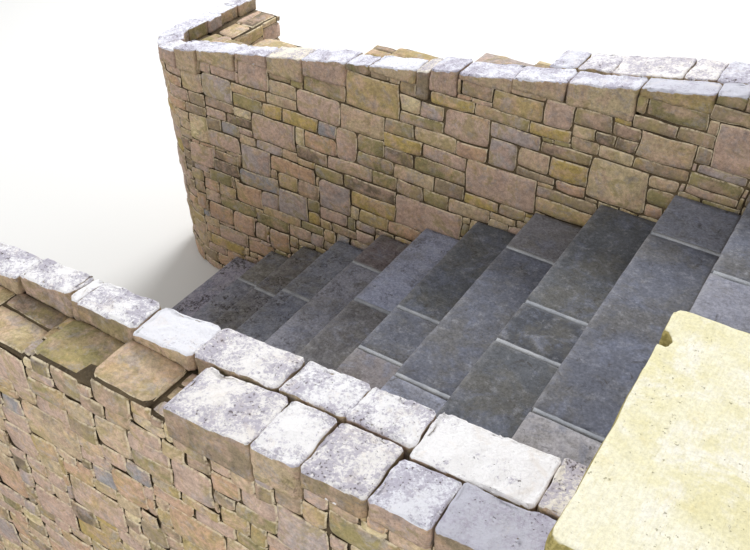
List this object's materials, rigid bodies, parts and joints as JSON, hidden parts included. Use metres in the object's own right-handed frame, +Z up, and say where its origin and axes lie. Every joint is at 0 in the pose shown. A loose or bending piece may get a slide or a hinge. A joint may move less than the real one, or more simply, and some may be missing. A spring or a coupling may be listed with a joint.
{
  "type": "outdoor stone steps",
  "caption": "Straight flight of flagstone treads between two rubble stone side walls with rough coping, rounded feet with short returns, and a capped pier at each head.",
  "frame": {"origin": "on the ground under the middle of the steps: the centre of the bounding box's underside", "axes": "+Z up, +X up the flight from its foot to its landing, +Y towards the far wall"},
  "size_m": [4.022, 3.6, 2.25],
  "materials": {
    "core_masonry": "rough mortared rubble",
    "riser_stone": "split sandstone walling",
    "flagstone": "riven blue grey sandstone",
    "mortar": "pale cement pointing",
    "coping_stone": "rough pale sandstone",
    "cap_stone": "riven pale yellow sandstone",
    "pier_stone": "split sandstone walling",
    "wall_stone": "split sandstone walling"
  },
  "bodies": {
    "root": {"flight_core": "core_masonry", "riser_01": "riser_stone", "riser_02": "riser_stone", "riser_03": "riser_stone", "riser_04": "riser_stone", "riser_05": "riser_stone", "riser_06": "riser_stone", "riser_07": "riser_stone", "riser_08": "riser_stone", "riser_09": "riser_stone", "riser_10": "riser_stone", "riser_11": "riser_stone", "riser_12": "riser_stone", "tread_01": "flagstone", "tread_02": "flagstone", "tread_03": "flagstone", "tread_04": "flagstone", "tread_05": "flagstone", "tread_06": "flagstone", "tread_07": "flagstone", "tread_08": "flagstone", "tread_09": "flagstone", "tread_10": "flagstone", "tread_11": "flagstone", "landing": "flagstone", "slab_mortar": "mortar", "far_wall": "wall_stone", "far_corner": "wall_stone", "far_return": "wall_stone", "far_pier": "pier_stone", "far_pier_cap": "cap_stone", "far_coping_front": "coping_stone", "far_coping_back": "coping_stone", "far_coping_corner": "coping_stone", "far_coping_return": "coping_stone", "near_wall": "wall_stone", "near_corner": "wall_stone", "near_return": "wall_stone", "near_pier": "pier_stone", "near_pier_cap": "cap_stone", "near_coping_front": "coping_stone", "near_coping_back": "coping_stone", "near_coping_corner": "coping_stone", "near_coping_return": "coping_stone"}
  },
  "joints": []
}
